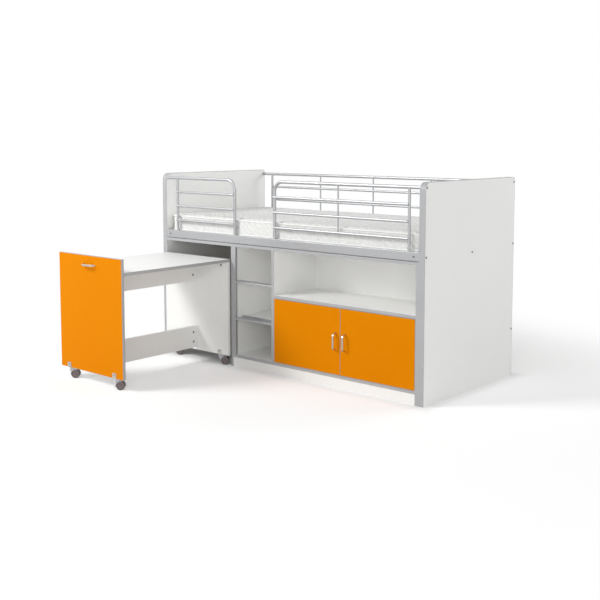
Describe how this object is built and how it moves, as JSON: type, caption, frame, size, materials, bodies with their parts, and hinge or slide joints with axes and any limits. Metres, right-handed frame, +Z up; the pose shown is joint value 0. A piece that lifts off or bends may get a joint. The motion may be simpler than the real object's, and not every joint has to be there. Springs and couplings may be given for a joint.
{
  "type": "cabin bed",
  "caption": "Cabin bed of white boards and grey steel guards, with a mattress, a roll-out desk on casters, a ladder niche, an open shelf and a cupboard with orange doors.",
  "frame": {"origin": "on the floor, under the middle of the whole piece with its desk rolled out", "axes": "+X along the bed from the desk end to the cupboard end, +Y from the desk side to the wall side, +Z up"},
  "size_m": [2.095, 1.835, 1.205],
  "materials": {
    "white_board": "white melamine-faced chipboard",
    "orange_board": "orange melamine-faced chipboard",
    "grey_edging": "satin ABS edging",
    "painted_steel": "satin silver-grey powder coat",
    "slat_wood": "planed pine",
    "mattress_cover": "white quilted knit over foam",
    "zinc_steel": "zinc plated",
    "satin_nickel": "satin nickel",
    "clip_steel": "zinc plated sheet",
    "grey_nylon": "moulded nylon, silver grey",
    "wheel_nylon": "moulded nylon, dark grey"
  },
  "bodies": {
    "bed": {"bay_back_panel": "white_board", "bay_side_panel": "white_board", "bed_slats": "slat_wood", "cupboard_right_side": "white_board", "cupboard_shelf": "white_board", "divider_panel": "white_board", "end_edge_bands": "grey_edging", "end_panel_bolts": "zinc_steel", "front_side_rail": "painted_steel", "hinge_arms": "zinc_steel", "ladder_stiles": "painted_steel", "ladder_treads": "painted_steel", "left_end_panel": "white_board", "long_guard_bars": "painted_steel", "long_guard_hoop": "painted_steel", "mattress": "mattress_cover", "middle_beam": "painted_steel", "niche_left_side": "white_board", "niche_shelf": "white_board", "plinth_boards": "white_board", "rail_bolts": "zinc_steel", "rail_brackets": "painted_steel", "rear_guard_bars": "painted_steel", "rear_guard_top_tube": "painted_steel", "rear_side_rail": "painted_steel", "rear_stretcher": "painted_steel", "right_end_panel": "white_board", "short_guard_bars": "painted_steel", "short_guard_hoop": "painted_steel", "slat_ledgers": "painted_steel", "unit_back_panel": "white_board", "unit_bottom_board": "white_board", "unit_edge_bands": "grey_edging", "unit_top_board": "white_board"},
    "left_door": {"left_door": "orange_board", "left_door_edge_band": "grey_edging", "left_door_handle": "satin_nickel", "left_hinge_cups": "zinc_steel"},
    "right_door": {"right_door": "orange_board", "right_door_edge_band": "grey_edging", "right_door_handle": "satin_nickel", "right_hinge_cups": "zinc_steel"},
    "desk": {"desk_front_panel": "orange_board", "desk_top": "white_board", "desk_back_panel": "white_board", "desk_lower_stretcher": "white_board", "desk_upper_stretcher": "white_board", "desk_edge_bands": "grey_edging", "desk_handle": "satin_nickel", "desk_cam_locks": "zinc_steel", "caster_clips": "clip_steel"},
    "front_left_swivel": {"front_left_caster_hood": "grey_nylon"},
    "front_left_wheels": {"front_left_caster_wheels": "wheel_nylon"},
    "front_right_swivel": {"front_right_caster_hood": "grey_nylon"},
    "front_right_wheels": {"front_right_caster_wheels": "wheel_nylon"},
    "rear_left_swivel": {"rear_left_caster_hood": "grey_nylon"},
    "rear_left_wheels": {"rear_left_caster_wheels": "wheel_nylon"},
    "rear_right_swivel": {"rear_right_caster_hood": "grey_nylon"},
    "rear_right_wheels": {"rear_right_caster_wheels": "wheel_nylon"}
  },
  "joints": [
    {"name": "left_door_hinge", "type": "hinge", "parent": "bed", "child": "left_door", "pos_m": [-0.0385, -0.0325, 0.2755], "axis": [0, 0, 1], "range_deg": [-110, 0]},
    {"name": "right_door_hinge", "type": "hinge", "parent": "bed", "child": "right_door", "pos_m": [0.987, -0.0325, 0.2755], "axis": [0, 0, 1], "range_deg": [0, 110]},
    {"name": "desk_slide", "type": "slide", "parent": "bed", "child": "desk", "axis": [0, 1, 0], "range_m": [0, 0.857]},
    {"name": "front_left_swivel_turn", "type": "hinge", "parent": "desk", "child": "front_left_swivel", "pos_m": [-0.9205, -0.8805, 0.055], "axis": [0, 0, 1], "continuous": true},
    {"name": "front_left_wheels_spin", "type": "hinge", "parent": "front_left_swivel", "child": "front_left_wheels", "pos_m": [-0.89786, -0.86082, 0.025], "axis": [-0.6561, 0.7547, 0], "continuous": true},
    {"name": "front_right_swivel_turn", "type": "hinge", "parent": "desk", "child": "front_right_swivel", "pos_m": [-0.4925, -0.8805, 0.055], "axis": [0, 0, 1], "continuous": true},
    {"name": "front_right_wheels_spin", "type": "hinge", "parent": "front_right_swivel", "child": "front_right_wheels", "pos_m": [-0.46986, -0.86082, 0.025], "axis": [-0.6561, 0.7547, 0], "continuous": true},
    {"name": "rear_left_swivel_turn", "type": "hinge", "parent": "desk", "child": "rear_left_swivel", "pos_m": [-0.9205, -0.0445, 0.055], "axis": [0, 0, 1], "continuous": true},
    {"name": "rear_left_wheels_spin", "type": "hinge", "parent": "rear_left_swivel", "child": "rear_left_wheels", "pos_m": [-0.89786, -0.02482, 0.025], "axis": [-0.6561, 0.7547, 0], "continuous": true},
    {"name": "rear_right_swivel_turn", "type": "hinge", "parent": "desk", "child": "rear_right_swivel", "pos_m": [-0.4925, -0.0445, 0.055], "axis": [0, 0, 1], "continuous": true},
    {"name": "rear_right_wheels_spin", "type": "hinge", "parent": "rear_right_swivel", "child": "rear_right_wheels", "pos_m": [-0.46986, -0.02482, 0.025], "axis": [-0.6561, 0.7547, 0], "continuous": true}
  ]
}
